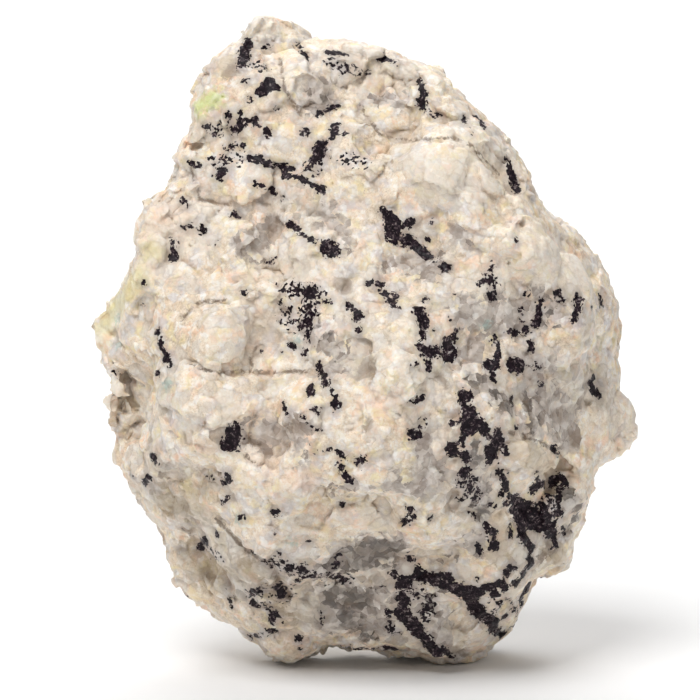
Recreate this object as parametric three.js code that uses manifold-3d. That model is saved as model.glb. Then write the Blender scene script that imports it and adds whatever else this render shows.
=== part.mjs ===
// A pegmatite hand sample: one broken lump of coarse granite rock, standing on a small flat foot.
// Millimetres, +X right, +Y away from the viewer, +Z up. The origin is under the middle of its box.
//
// The lump is shaped in the view it was drawn from, in which x runs right, z up and y away, and is
// then tipped to stand, because that view looks down on it a little.
import * as THREE from "three";
import { ConvexGeometry } from "three/addons/geometries/ConvexGeometry.js";
import { mergeVertices } from "three/addons/utils/BufferGeometryUtils.js";
import Module from "manifold-3d";

// Driving dimensions
const HEIGHT = 104; // from the foot to the peak, as drawn and before the foot is trimmed
const FRONT_DEPTH = 32; // from the rim to the front crown, before the faces are broken off
const BACK_DEPTH = 30; // from the rim to the back crown, likewise
const VIEW_TILT = 9; // degrees that the view looks down
const FOOT_TRIM = 3; // how much is broken off flat under the foot
const FOOT_SETBACK = 13; // how far the rim goes back at the foot, so that the foot is under the weight
const RIM_FULLNESS = 2.15; // 2 makes the section across the rim round, and more makes it squarer
const LEAST_SHARE = 0.3; // of the unbroken depth that the broken faces always leave
const EDGE_SOFTNESS = 0.8; // how round the edges between the broken faces are
const SKIN_DETAIL = 17; // each side of the icosahedron's faces is cut into one more piece than this

// The drawing: its sheet is 700 wide and high, with x to the right and y down.
const PEAK_Y = 22;
const FOOT_Y = 682;
const MIDDLE = [364, 350];
const SCALE = HEIGHT / (FOOT_Y - PEAK_Y);

// The outline seen from the front, clockwise from the peak.
const OUTLINE = [
  [280, 22], [296, 31], [308, 42], [325, 46], [350, 44], [372, 52], [398, 61], [420, 74], [440, 81],
  [460, 100], [488, 123], [501, 140], [516, 160], [530, 177], [526, 185], [538, 208], [549, 220],
  [571, 230], [588, 256], [597, 266], [609, 292], [616, 312], [618, 338], [613, 366], [620, 383],
  [616, 396], [627, 410], [634, 440], [632, 455], [610, 460], [598, 472], [588, 480], [593, 498],
  [583, 520], [586, 527], [571, 545], [573, 576], [552, 579], [534, 574], [526, 597], [520, 622],
  [507, 640], [496, 646], [482, 660], [464, 674], [446, 682], [428, 672], [417, 656], [395, 656],
  [343, 650], [328, 652], [318, 668], [296, 681], [275, 668], [262, 649], [232, 628], [210, 619],
  [178, 596], [174, 572], [166, 545], [152, 520], [133, 488], [122, 478], [117, 450], [117, 432],
  [109, 415], [112, 392], [101, 368], [97, 340], [93, 321], [108, 314], [120, 295], [134, 270],
  [140, 222], [153, 202], [176, 192], [176, 152], [193, 143], [197, 130], [195, 112], [191, 100],
  [208, 88], [215, 60], [223, 52], [240, 49], [255, 30], [268, 24],
];

// The broken faces of the front and of the back. Each holds the point at [x, z], stands proud of the
// rim's plane by the third number there, and rises to the right and upwards by its two slopes.
const FRONT_FACES = [
  { at: [5.5, -4.6], proud: 29, slopes: [0.2, -0.4] }, // the large pale face, turned up and left
  { at: [5, -4.6], proud: 29, slopes: [0.12, 0.1] }, // below its crown
  { at: [8, -5], proud: 29, slopes: [-0.5, 0.1] }, // turned right, behind the ridge
  { at: [0, -30], proud: 24, slopes: [-0.04, 0.9] }, // the underside
  { at: [-23, -26], proud: 21, slopes: [0.6, 0.6] }, // low on the left
  { at: [26, 20], proud: 22, slopes: [-0.7, -0.42] }, // the right shoulder
  { at: [-30, 0], proud: 19, slopes: [0.8, -0.1] }, // the left side
  { at: [-38, 4], proud: 5, slopes: [1.9, 0.2] }, // and its outer edge
  { at: [26, -28], proud: 17, slopes: [-0.8, 0.5] }, // low on the right
  { at: [39, 2], proud: 5, slopes: [-2.1, 0.1] }, // the outer edge on the right
  { at: [-8, 45], proud: 6, slopes: [0.2, -1.7] }, // the peak
  { at: [24, 38], proud: 5, slopes: [-1.2, -1.1] }, // right of the peak
  { at: [-34, -22], proud: 6, slopes: [1.3, 0.8] }, // the lower left edge
];
const BACK_FACES = [
  { at: [-4, 2], proud: 27, slopes: [-0.16, -0.26] },
  { at: [8, -8], proud: 26, slopes: [-0.45, 0.2] },
  { at: [-16, -12], proud: 23, slopes: [0.6, 0.3] },
  { at: [-12, 24], proud: 17, slopes: [0.35, -0.8] },
  { at: [20, 20], proud: 17, slopes: [-0.8, -0.5] },
  { at: [4, -34], proud: 17, slopes: [0.1, 0.9] },
  { at: [30, -20], proud: 13, slopes: [-1.0, 0.4] },
  { at: [-36, 0], proud: 6, slopes: [1.5, -0.2] },
  { at: [38, 8], proud: 6, slopes: [-1.6, -0.3] },
  { at: [-30, -28], proud: 7, slopes: [1.0, 0.9] },
  { at: [-10, 44], proud: 5, slopes: [0.3, -1.3] },
];

// Swells and hollows of the front: where on the drawing, half width and half height there, and how
// far the middle stands out in millimetres, or in where it is negative.
const SWELLS = [
  { at: [228, 405], reach: [56, 30], rise: 1.8 },
  { at: [215, 335], reach: [60, 46], rise: 1.6 },
  { at: [428, 178], reach: [70, 52], rise: 1.6 },
  { at: [534, 246], reach: [56, 32], rise: 1.2 },
  { at: [396, 372], reach: [34, 54], rise: 1.6 },
  { at: [438, 128], reach: [40, 22], rise: 1.2 },
  { at: [395, 480], reach: [50, 44], rise: 1.2 },
  { at: [448, 640], reach: [40, 26], rise: 1.6 },
  { at: [295, 640], reach: [34, 34], rise: 1.6 },
  { at: [278, 222], reach: [28, 20], rise: -2.6 },
  { at: [302, 318], reach: [28, 28], rise: -1.8 },
  { at: [274, 438], reach: [36, 30], rise: -1.8 },
  { at: [410, 262], reach: [36, 24], rise: -2.0 },
  { at: [476, 462], reach: [30, 46], rise: -2.2 },
  { at: [548, 306], reach: [28, 24], rise: -1.8 },
  { at: [545, 408], reach: [40, 32], rise: -2.2 },
  { at: [540, 522], reach: [36, 26], rise: -1.6 },
  { at: [350, 560], reach: [54, 24], rise: -1.8 },
  { at: [330, 112], reach: [24, 28], rise: -1.6 },
  { at: [276, 594], reach: [20, 28], rise: -2.0 },
];

// Ledges of the front: the ground right of the line, seen from its first end to its last, drops by
// so many millimetres at the line and comes back to the level over the run.
const LEDGES = [
  { from: [312, 374], to: [184, 366], drop: 1.8, run: 9 },
  { from: [286, 576], to: [214, 518], drop: 2.0, run: 12 },
  { from: [470, 586], to: [330, 545], drop: 1.6, run: 12 },
  { from: [345, 262], to: [286, 220], drop: 1.4, run: 8 },
  { from: [330, 198], to: [250, 156], drop: 1.4, run: 8 },
  { from: [430, 256], to: [384, 206], drop: 1.8, run: 8 },
];

// Feldspar crystals that can be told apart on the front: where on the drawing, width, height and
// thickness in millimetres, how far the outer face stands out, the turn in degrees, and whether the
// crystal is worn to a knob.
const CRYSTALS = [
  { at: [216, 333], size: [14, 12, 6], rise: 1.9, turn: 0, worn: true },
  { at: [430, 176], size: [17, 13, 6], rise: 1.3, turn: 12, worn: true },
  { at: [396, 368], size: [8, 11, 5], rise: 1.2, turn: 10, worn: true },
  { at: [286, 492], size: [11, 9, 5], rise: 1.1, turn: 30, worn: true },
  { at: [304, 260], size: [7, 7.5, 9], rise: 0.9, turn: 20 },
  { at: [528, 254], size: [12, 6, 9], rise: 0.5, turn: -35 },
  { at: [540, 456], size: [9, 6.5, 9], rise: 0.8, turn: 12 },
  { at: [598, 428], size: [8, 8, 10], rise: 0.3, turn: 8 },
  { at: [552, 556], size: [6, 6, 9], rise: 0.4, turn: 5 },
  { at: [258, 68], size: [8, 7, 9], rise: 0.4, turn: 30 },
];

// Flat-bottomed breaks all over the lump: wide spalls, and sockets that broken-out crystals left.
const BREAKS = [
  { count: 46, sizes: [10, 20], thickness: 5, depths: [0.7, 1.8] },
  { count: 18, sizes: [4.5, 8], thickness: 4, depths: [0.8, 1.7] },
];
const RIM_BREAK = 0.3; // depth of a break at the rim, where the outline stays
const BREAK_TAPER = 0.6; // a break's floor, as a share of its mouth
const CRYSTAL_TAPER = 0.75; // a crystal's outer face, as a share of its buried one

// The broken faces of the packed grains: the spacing of the grains, how far one lies above or below
// the next, how steeply a grain's face is turned, and how far it bows down to its edges.
const GRAINS = [
  { spacing: 12, step: 1.5, slope: 0.34, bow: 0.3 },
  { spacing: 6.5, step: 0.8, slope: 0.36, bow: 0.32 },
];

// Starts of the number rows that the scattered things are drawn from
const SALTS = { grains: 1, breaks: 31, crystals: 61 };
const SALT_STEP = 10;
const KEY_STEP = 500;

// Small helpers
const clamp = THREE.MathUtils.clamp;
const lerp = THREE.MathUtils.lerp;
const smoothstep = THREE.MathUtils.smoothstep;

function onDrawing([x, y]) {
  return new THREE.Vector2((x - MIDDLE[0]) * SCALE, (MIDDLE[1] - y) * SCALE);
}

// One number from 0 to 1 that is always the same for the same three whole numbers and salt.
function chance(i, j, k, salt) {
  const mixed = Math.sin(i * 127.1 + j * 311.7 + k * 74.7 + salt * 53.9) * 43758.5453;
  return mixed - Math.floor(mixed);
}

// The outline as corners around the middle.
const corners = OUTLINE.map(onDrawing);

// How far a loop of corners is from the middle in a direction.
function reachOf(loop, way) {
  let reach = 0;
  loop.forEach((a, i) => {
    const side = new THREE.Vector2().subVectors(loop[(i + 1) % loop.length], a);
    const across = way.cross(side);
    const share = a.cross(way) / across;
    if (share >= -1e-6 && share <= 1 + 1e-6) reach = Math.max(reach, a.cross(side) / across);
  });
  return reach;
}

// The share of the way from the middle to a loop of corners that a point is out.
function shareOut(loop, flat) {
  const length = flat.length();
  return length < 1e-6 ? 0 : length / reachOf(loop, flat.clone().divideScalar(length));
}

// The outline with its notches smoothed out, for the ground away from the rim.
const STEADY_REACH = 4; // corners to each side that are averaged
const NOTCHED_FROM = 0.93; // share of the way out at which the notches begin
const steadyCorners = corners.map((corner, i) => {
  let sum = 0;
  for (let k = -STEADY_REACH; k <= STEADY_REACH; k++)
    sum += corners[(i + k + corners.length) % corners.length].length();
  return corner.clone().setLength(sum / (2 * STEADY_REACH + 1));
});

// The rim doesn't lie in one plane: on the lower right and at the foot it is further from the viewer.
function rimSetback(angle) {
  const lowerRight = Math.max(0, Math.cos(angle + 0.6)) ** 2;
  const foot = Math.max(0, -Math.sin(angle)) ** 3;
  const waves = 2.4 * Math.sin(2 * angle + 0.8) + 1.4 * Math.sin(5 * angle);
  return 7 * lowerRight + FOOT_SETBACK * foot - 2.5 + waves;
}

// How far the broken faces let the ground stand proud at [x, z], with their edges a little rounded.
function underFaces(proud, x, z, faces) {
  const heights = faces.map(
    ({ at, proud: level, slopes }) => level + slopes[0] * (x - at[0]) + slopes[1] * (z - at[1]),
  );
  heights.push(proud);
  const lowest = Math.min(...heights);
  const sum = heights.reduce((s, h) => s + Math.exp((lowest - h) / EDGE_SOFTNESS), 0);
  return lowest - EDGE_SOFTNESS * Math.log(sum);
}

function swellRelief(x, z) {
  let relief = 0;
  for (const { at, reach, rise } of SWELLS) {
    const middle = onDrawing(at);
    const away = Math.hypot((x - middle.x) / (reach[0] * SCALE), (z - middle.y) / (reach[1] * SCALE));
    if (away < 1) relief += rise * (1 - away * away);
  }
  return relief;
}

function ledgeRelief(x, z) {
  let relief = 0;
  for (const { from, to, drop, run } of LEDGES) {
    const a = onDrawing(from);
    const along = onDrawing(to).sub(a);
    const length = along.length();
    along.divideScalar(length);
    const offset = new THREE.Vector2(x - a.x, z - a.y);
    const share = offset.dot(along) / length;
    const side = -along.cross(offset); // positive to the right of the line
    const ends = smoothstep(share, -0.15, 0.1) * (1 - smoothstep(share, 0.9, 1.15));
    if (side > -1) relief -= drop * ends * smoothstep(side, -1, 1) * (1 - clamp(side / run, 0, 1));
  }
  return relief;
}

// Where the ground of one side is over [x, z], as a point in space. The share of the way out to the
// rim is 0 at the crown and 1 at the rim.
function groundOver(x, z, outwards, isFront) {
  const depth = isFront ? FRONT_DEPTH : BACK_DEPTH;
  const unbroken = depth * Math.max(0, 1 - outwards ** RIM_FULLNESS) ** (1 / RIM_FULLNESS);
  const broken = underFaces(unbroken, x, z, isFront ? FRONT_FACES : BACK_FACES);
  let proud = Math.max(broken, LEAST_SHARE * unbroken);
  if (isFront) proud += (swellRelief(x, z) + ledgeRelief(x, z)) * (1 - outwards ** 6);
  const setback = rimSetback(Math.atan2(z, x)) * outwards ** 3;
  return new THREE.Vector3(x, (isFront ? -proud : proud) + setback, z);
}

// The closed skin of the lump: a ball of small faces, pushed sideways to the outline and in depth to
// the broken faces.
function ground() {
  const ball = new THREE.IcosahedronGeometry(1, SKIN_DETAIL);
  ball.deleteAttribute("normal");
  ball.deleteAttribute("uv");
  const skin = mergeVertices(ball, 1e-4);
  const places = skin.attributes.position;
  for (let n = 0; n < places.count; n++) {
    const way = new THREE.Vector3().fromBufferAttribute(places, n);
    const sideways = Math.hypot(way.x, way.z);
    const outwards = sideways ** (2 / RIM_FULLNESS); // 0 at the crown and 1 at the rim
    const flat = new THREE.Vector2(way.x, way.z).divideScalar(Math.max(sideways, 1e-9));
    const notched = smoothstep(outwards, NOTCHED_FROM, 1);
    const reach = lerp(reachOf(steadyCorners, flat), reachOf(corners, flat), notched);
    flat.multiplyScalar(outwards * reach);
    const place = groundOver(flat.x, flat.y, outwards, way.y < 0);
    places.setXYZ(n, place.x, place.y, place.z);
  }
  skin.computeVertexNormals();
  return skin;
}

// The height of the grains at a point: each nearby grain has a tilted and slightly bowed face, and
// the highest of them shows, so that they meet in creases.
function grainRelief(point, { spacing, step, slope, bow }, salt) {
  const cell = point.clone().divideScalar(spacing);
  const [ci, cj, ck] = cell.toArray().map(Math.floor);
  let highest = -Infinity;
  for (let i = ci - 1; i <= ci + 1; i++)
    for (let j = cj - 1; j <= cj + 1; j++)
      for (let k = ck - 1; k <= ck + 1; k++) {
        const draw = (n) => chance(i, j, k, salt + n);
        const offset = cell.clone().sub(new THREE.Vector3(i + draw(0), j + draw(1), k + draw(2)));
        const tilt = new THREE.Vector3(draw(3) - 0.5, draw(4) - 0.5, draw(5) - 0.5);
        const level = step * (2 * draw(6) - 1);
        const face = 2 * slope * tilt.dot(offset) - bow * offset.lengthSq();
        highest = Math.max(highest, level + spacing * face);
      }
  return highest;
}

function roughen(skin) {
  const places = skin.attributes.position;
  const normals = skin.attributes.normal;
  for (let n = 0; n < places.count; n++) {
    const smooth = new THREE.Vector3().fromBufferAttribute(places, n);
    const place = smooth.clone();
    const normal = new THREE.Vector3().fromBufferAttribute(normals, n);
    const outwards = shareOut(corners, new THREE.Vector2(place.x, place.z));
    const held = 1 - 0.8 * smoothstep(outwards, 0.9, 0.98); // so that the outline stays
    GRAINS.forEach((kind, i) => {
      const salt = SALTS.grains + SALT_STEP * i;
      place.addScaledVector(normal, grainRelief(smooth, kind, salt) * held);
    });
    places.setXYZ(n, place.x, place.y, place.z);
  }
}

// A broken crystal around the origin: a box that narrows upwards or downwards and whose corners are
// knocked about, or an egg shape.
function crystal([width, height, thickness], key, { worn = false, top = 1, bottom = 1 }) {
  const points = [];
  const knock = (n, salt) => chance(key, n, 7, salt) - 0.5;
  if (worn) {
    const WORN_POINTS = 34;
    const GOLDEN_ANGLE = Math.PI * (3 - Math.sqrt(5));
    for (let n = 0; n < WORN_POINTS; n++) {
      const up = 1 - (2 * (n + 0.5)) / WORN_POINTS;
      const around = n * GOLDEN_ANGLE + knock(n, 1);
      const out = Math.sqrt(1 - up * up);
      const point = new THREE.Vector3(out * Math.cos(around), out * Math.sin(around), up);
      points.push(point.multiplyScalar(1 + 0.16 * knock(n, 2)));
    }
  } else {
    for (let n = 0; n < 8; n++) {
      const wide = n & 4 ? top : bottom;
      const corner = new THREE.Vector3(n & 1 ? wide : -wide, n & 2 ? wide : -wide, n & 4 ? 1 : -1);
      corner.add(new THREE.Vector3(0.6 * knock(n, 1), 0.6 * knock(n, 2), 0.2 * knock(n, 3)));
      points.push(corner);
    }
  }
  const hull = new ConvexGeometry(points);
  hull.deleteAttribute("normal");
  return hull.scale(width / 2, height / 2, thickness / 2);
}

// Stands a crystal on the ground with its outer face outwards, so far out, turned and leaning.
function setInto(hull, { place, normal }, thickness, rise, turn, lean) {
  const facing = normal.clone().add(lean).normalize();
  const right = new THREE.Vector3(0, 0, 1).cross(facing);
  if (right.length() < 0.1) right.set(1, 0, 0);
  right.normalize();
  const upwards = new THREE.Vector3().crossVectors(facing, right);
  const frame = new THREE.Matrix4().makeBasis(right, upwards, facing);
  frame.multiply(new THREE.Matrix4().makeRotationZ(THREE.MathUtils.degToRad(turn)));
  const middle = place.clone().addScaledVector(normal, rise - thickness / 2);
  hull.applyMatrix4(frame);
  return hull.translate(middle.x, middle.y, middle.z);
}

// The ground's point and outward direction that the drawing shows at a place.
function frontAt(at) {
  const { x, y: z } = onDrawing(at);
  const over = (dx, dz) => {
    const flat = new THREE.Vector2(x + dx, z + dz);
    return groundOver(flat.x, flat.y, Math.min(1, shareOut(steadyCorners, flat)), true);
  };
  const STEP = 1.5;
  const across = over(STEP, 0).sub(over(-STEP, 0));
  const upwards = over(0, STEP).sub(over(0, -STEP));
  return { place: over(0, 0), normal: across.cross(upwards).normalize() };
}

// The corners of one triangle of a skin.
function triangleOf(skin, face) {
  const [a, b, c] = [0, 1, 2].map((k) =>
    new THREE.Vector3().fromBufferAttribute(skin.attributes.position, skin.index.getX(3 * face + k)),
  );
  return new THREE.Triangle(a, b, c);
}

// The skin's area up to and with each triangle.
function runningAreas(skin) {
  const areas = [];
  for (let face = 0; 3 * face < skin.index.count; face++)
    areas.push((areas[face - 1] ?? 0) + triangleOf(skin, face).getArea());
  return areas;
}

// A place on the skin, picked evenly over its area, and the direction it faces.
function scatteredPlace(skin, areas, n, salt) {
  const target = chance(n, 3, 1, salt) * areas[areas.length - 1];
  const triangle = triangleOf(skin, areas.findIndex((sum) => sum >= target));
  return {
    place: triangle.getMidpoint(new THREE.Vector3()),
    normal: triangle.getNormal(new THREE.Vector3()),
  };
}

function leanOf(n, salt, most) {
  const part = (axis) => most * (2 * chance(n, axis, 0, salt) - 1);
  return new THREE.Vector3(part(1), part(2), part(3));
}

// Booleans
const wasm = await Module();
wasm.setup();

function toSolid(geometry) {
  const merged = mergeVertices(geometry, 1e-4);
  return new wasm.Manifold(
    new wasm.Mesh({
      numProp: 3,
      vertProperties: new Float32Array(merged.attributes.position.array),
      triVerts: new Uint32Array(merged.index.array),
    }),
  );
}

function toGeometry(solid) {
  const { vertProperties, triVerts } = solid.getMesh();
  const geometry = new THREE.BufferGeometry();
  geometry.setAttribute("position", new THREE.BufferAttribute(vertProperties, 3));
  geometry.setIndex(new THREE.BufferAttribute(triVerts, 1));
  return geometry;
}

// The lump as drawn: the ground, less the breaks, with the told-apart crystals set into it.
function drawnLump() {
  const skin = ground();
  roughen(skin);
  skin.deleteAttribute("normal");
  const areas = runningAreas(skin);
  let lump = toSolid(skin);

  BREAKS.forEach(({ count, sizes, thickness, depths }, kind) => {
    for (let n = 0; n < count; n++) {
      const salt = SALTS.breaks + SALT_STEP * kind;
      const spot = scatteredPlace(skin, areas, n, salt);
      const size = lerp(...sizes, chance(n, 0, 0, salt + 1));
      const atRim = Math.abs(spot.normal.y) < 0.5;
      const depth = atRim ? RIM_BREAK : lerp(...depths, chance(n, 0, 0, salt + 2));
      const turn = 360 * chance(n, 0, 0, salt + 3);
      const sides = [size, size * 0.7, thickness];
      const hull = crystal(sides, n + KEY_STEP * kind, { bottom: BREAK_TAPER });
      setInto(hull, spot, thickness, thickness - depth, turn, leanOf(n, salt + 4, atRim ? 0.05 : 0.16));
      lump = lump.subtract(toSolid(hull));
    }
  });
  CRYSTALS.forEach(({ at, size, rise, turn, worn }, n) => {
    const hull = crystal(size, n + KEY_STEP * BREAKS.length, { worn, top: CRYSTAL_TAPER });
    setInto(hull, frontAt(at), size[2], rise, turn, leanOf(n, SALTS.crystals, 0.1));
    lump = lump.add(toSolid(hull));
  });
  return toGeometry(lump);
}

// Stands the lump up, breaks its underside off flat, and puts the origin under its middle.
function standOnFoot(drawn) {
  drawn.rotateX(THREE.MathUtils.degToRad(-VIEW_TILT));
  drawn.computeBoundingBox();
  const floor = drawn.boundingBox.min.z + FOOT_TRIM;
  const slab = new THREE.BoxGeometry(3 * HEIGHT, 3 * HEIGHT, HEIGHT);
  slab.deleteAttribute("normal");
  slab.deleteAttribute("uv");
  slab.translate(0, 0, floor - HEIGHT / 2);
  const stood = toGeometry(toSolid(drawn).subtract(toSolid(slab)));
  stood.computeBoundingBox();
  const { min, max } = stood.boundingBox;
  stood.translate(-(min.x + max.x) / 2, -(min.y + max.y) / 2, -floor);
  stood.computeVertexNormals();
  return stood;
}

const stone = new THREE.MeshStandardMaterial({
  color: "rgb(186, 173, 158)",
  roughness: 0.8,
  metalness: 0,
});

const lump = new THREE.Mesh(standOnFoot(drawnLump()), stone);
lump.name = "pegmatite_lump";

const specimen = new THREE.Group();
specimen.add(lump);
export default specimen;
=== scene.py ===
# %% [markdown]
# # A pegmatite hand sample
#
# The object is a fist-sized lump of pegmatite, broken off with a hammer. Cream, pink and white
# feldspar makes up most of it, with grey glassy quartz between, and black flecks that run in
# streaks. Nothing on it moves, so the whole stone rides on one body.
#
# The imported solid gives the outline, the big broken faces and the foot. This script grows the fine
# surface over a copy of it: blocks and grains in geometry, and colour by nodes.

import math

import bmesh
import bpy
import numpy as np
from mathutils import Matrix, Vector
from mathutils.bvhtree import BVHTree
from mathutils.kdtree import KDTree


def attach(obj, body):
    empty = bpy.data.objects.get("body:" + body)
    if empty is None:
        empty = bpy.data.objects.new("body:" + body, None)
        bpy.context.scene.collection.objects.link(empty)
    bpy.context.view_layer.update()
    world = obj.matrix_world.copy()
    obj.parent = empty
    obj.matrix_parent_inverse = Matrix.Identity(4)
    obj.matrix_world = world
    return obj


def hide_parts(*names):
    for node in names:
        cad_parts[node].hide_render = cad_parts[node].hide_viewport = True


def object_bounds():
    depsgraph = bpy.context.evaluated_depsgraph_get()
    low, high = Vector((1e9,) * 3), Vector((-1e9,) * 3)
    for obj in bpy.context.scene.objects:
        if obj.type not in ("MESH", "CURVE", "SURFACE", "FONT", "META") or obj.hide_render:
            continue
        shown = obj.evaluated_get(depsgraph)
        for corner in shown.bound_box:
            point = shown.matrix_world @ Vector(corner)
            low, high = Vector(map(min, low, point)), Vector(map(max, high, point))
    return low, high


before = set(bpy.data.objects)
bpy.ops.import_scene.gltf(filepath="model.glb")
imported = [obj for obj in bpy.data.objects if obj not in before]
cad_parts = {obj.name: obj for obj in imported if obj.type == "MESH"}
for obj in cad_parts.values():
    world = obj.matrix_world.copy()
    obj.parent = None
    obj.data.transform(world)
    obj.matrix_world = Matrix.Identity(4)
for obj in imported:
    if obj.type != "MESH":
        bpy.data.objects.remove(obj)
cad_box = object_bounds()
MM = 0.001
NODE = "pegmatite_lump"
print("box of the solid, mm:", [[round(v / MM, 1) for v in corner] for corner in cad_box])

# %% [markdown]
# ## The camera
#
# The photograph looks almost level at the stone, from a little above, through a long lens. The
# camera is set first, because the marks on the stone are placed by where they are seen in the
# photograph: a ray through a pixel of it meets the stone where the mark lies.

# %% Camera
PIXEL = 0.1576 * MM  # what one pixel of the photograph covers at the stone
PHOTO_SIDE = 700
STONE_LEFT = 93  # the stone's first column and row in the photograph
STONE_TOP = 22
LOOK_DOWN = math.radians(9)
LENS = 350
SENSOR = 36

RIGHT = Vector((1, 0, 0))
UP = Vector((0, math.sin(LOOK_DOWN), math.cos(LOOK_DOWN)))
BACK = Vector((0, -math.cos(LOOK_DOWN), math.sin(LOOK_DOWN)))
distance = PHOTO_SIDE * PIXEL * LENS / SENSOR

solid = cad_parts[NODE]
across = [v.co.dot(RIGHT) for v in solid.data.vertices]
upward = [v.co.dot(UP) for v in solid.data.vertices]
middle_across = min(across) + (PHOTO_SIDE / 2 - STONE_LEFT) * PIXEL
middle_up = max(upward) - (PHOTO_SIDE / 2 - STONE_TOP) * PIXEL

camera_data = bpy.data.cameras.new("camera")
camera_data.lens = LENS
camera_data.sensor_width = SENSOR
camera_data.clip_end = 20
camera = bpy.data.objects.new("camera", camera_data)
camera.location = RIGHT * middle_across + UP * middle_up + BACK * distance
camera.rotation_euler = (math.radians(90) - LOOK_DOWN, 0, 0)
bpy.context.scene.collection.objects.link(camera)
bpy.context.scene.camera = camera
print("camera stands off", round(distance, 3), "m")

# %% [markdown]
# ## The stone's body
#
# On a real pegmatite the broken face is a crowd of feldspar blocks, each split along its own flat
# cleavage. Blocks laid over the solid and melted into it by a voxel remesh give that: the remesh
# joins everything that overlaps into one closed skin with even faces.
#
# The blocks are a few cubes with corners sliced off, copied many times over in different sizes.

# %% A few block shapes
BLOCK_SHAPES = 24
CORNER_CUTS = 4
CUT_PLACES = (0.36, 0.52)  # how far from a block's middle a cut lies, for a block 1 across


def random_direction(rng):
    """A direction with no preference for any side."""
    direction = rng.normal(size=3)
    return Vector(direction / np.linalg.norm(direction))


def sliced_block(rng):
    """A cube about 1 across, with some of its corners and edges sliced off flat."""
    bm = bmesh.new()
    bmesh.ops.create_cube(bm, size=1)
    for _ in range(CORNER_CUTS):
        direction = random_direction(rng)
        bmesh.ops.bisect_plane(
            bm,
            geom=bm.verts[:] + bm.edges[:] + bm.faces[:],
            plane_co=direction * rng.uniform(*CUT_PLACES),
            plane_no=direction,
            clear_outer=True,
        )
        open_edges = [e for e in bm.edges if e.is_boundary]
        bmesh.ops.holes_fill(bm, edges=open_edges, sides=0)
    bmesh.ops.triangulate(bm, faces=bm.faces[:])
    bmesh.ops.recalc_face_normals(bm, faces=bm.faces[:])
    mesh = bpy.data.meshes.new("block_shape")
    bm.to_mesh(mesh)
    bm.free()
    return mesh


rng = np.random.default_rng(5)
block_shapes = [sliced_block(rng) for _ in range(BLOCK_SHAPES)]
print("faces of a block:", [len(m.polygons) for m in block_shapes])

# %% Places on the stone
SAME_POINT = 0.001 * MM  # corners closer than this are one


def merged(mesh):
    """A bmesh of a mesh, with its loose triangles joined."""
    bm = bmesh.new()
    bm.from_mesh(mesh)
    bmesh.ops.remove_doubles(bm, verts=bm.verts[:], dist=SAME_POINT)
    bmesh.ops.recalc_face_normals(bm, faces=bm.faces[:])
    return bm


def scattered_places(bm, count, rng):
    """Places spread evenly over the skin: a list of (point, normal)."""
    faces = list(bm.faces)
    shares = np.cumsum([f.calc_area() for f in faces])
    places = []
    for pick in rng.uniform(0, shares[-1], count):
        face = faces[int(np.searchsorted(shares, pick))]
        weights = rng.dirichlet([1] * len(face.verts))
        point = sum((v.co * w for v, w in zip(face.verts, weights)), Vector())
        places.append((point, face.normal.copy()))
    return places


def block_turn(normal, rng):
    """Turns a block's Z to the skin's normal, leaned by up to some degrees, and spins it."""
    upright = normal.to_track_quat("Z", "Y").to_matrix()
    spin = Matrix.Rotation(rng.uniform(0, math.tau), 3, "Z")
    tilt = Matrix.Rotation(math.radians(rng.normal(0, BLOCK_LEAN)), 3, "X")
    return upright @ spin @ tilt


# %% Lay the blocks over the solid
BIG_BLOCKS = 200
SMALL_BLOCKS = 520
BIG_SIZE = (4.5 * MM, 10.0 * MM)
SMALL_SIZE = (1.6 * MM, 5.0 * MM)
BLOCK_DEPTH = (0.6, 1)  # a block's other two measures, as shares of its size
BLOCK_HEIGHT = (0.5, 0.8)
BLOCK_SUNK = 0.3  # how deep its middle lies under the skin, as a share of its size
BIG_PROUD = (0, 0.06)  # how far it is raised again, as a share of its size
SMALL_PROUD = (0, 0.1)
BLOCK_LEAN = 9  # degrees
MOST_PROUD = 1.5 * MM


def overhang(mesh, skin):
    """How far the farthest corner of a block stands outside the skin."""
    reach = 0
    for corner in mesh.vertices:
        near, normal, _, away = skin.find_nearest(corner.co)
        if (corner.co - near).dot(normal) > 0:
            reach = max(reach, away)
    return reach


def lay_blocks(bm, places, sizes, proud, rng):
    """
    Adds a sliced block at each place, sunk so that only its top stands proud of the skin. A block
    that would stick out over an edge of the stone is left out. Returns how many were laid.
    """
    skin = BVHTree.FromBMesh(bm)
    laid = 0
    for point, normal in places:
        size = sizes[0] * (sizes[1] / sizes[0]) ** rng.random()
        shape = block_shapes[rng.integers(len(block_shapes))].copy()
        depth = size * rng.uniform(*BLOCK_DEPTH)
        scale = Matrix.Diagonal((size, depth, size * rng.uniform(*BLOCK_HEIGHT)))
        turn = block_turn(normal, rng) @ scale
        centre = point + normal * (rng.uniform(*proud) * size - size * BLOCK_SUNK)
        shape.transform(Matrix.Translation(centre) @ turn.to_4x4())
        if overhang(shape, skin) < MOST_PROUD:
            bm.from_mesh(shape)
            laid += 1
        bpy.data.meshes.remove(shape)
    return laid


rng = np.random.default_rng(11)
bm = merged(solid.data)
plain_skin = bm.copy()
big_places = scattered_places(plain_skin, BIG_BLOCKS, rng)
big_laid = lay_blocks(bm, big_places, BIG_SIZE, BIG_PROUD, rng)
small_places = scattered_places(plain_skin, SMALL_BLOCKS, rng)
small_laid = lay_blocks(bm, small_places, SMALL_SIZE, SMALL_PROUD, rng)
plain_skin.free()
print("blocks laid:", big_laid, "big,", small_laid, "small")
mesh = bpy.data.meshes.new("pegmatite_stone")
bm.to_mesh(mesh)
bm.free()
stone = bpy.data.objects.new("pegmatite_stone", mesh)
bpy.context.scene.collection.objects.link(stone)
print("triangles before the remesh:", len(mesh.polygons))

# %% Melt them together
VOXEL = 0.36 * MM
MELT_STEPS = 2


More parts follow.
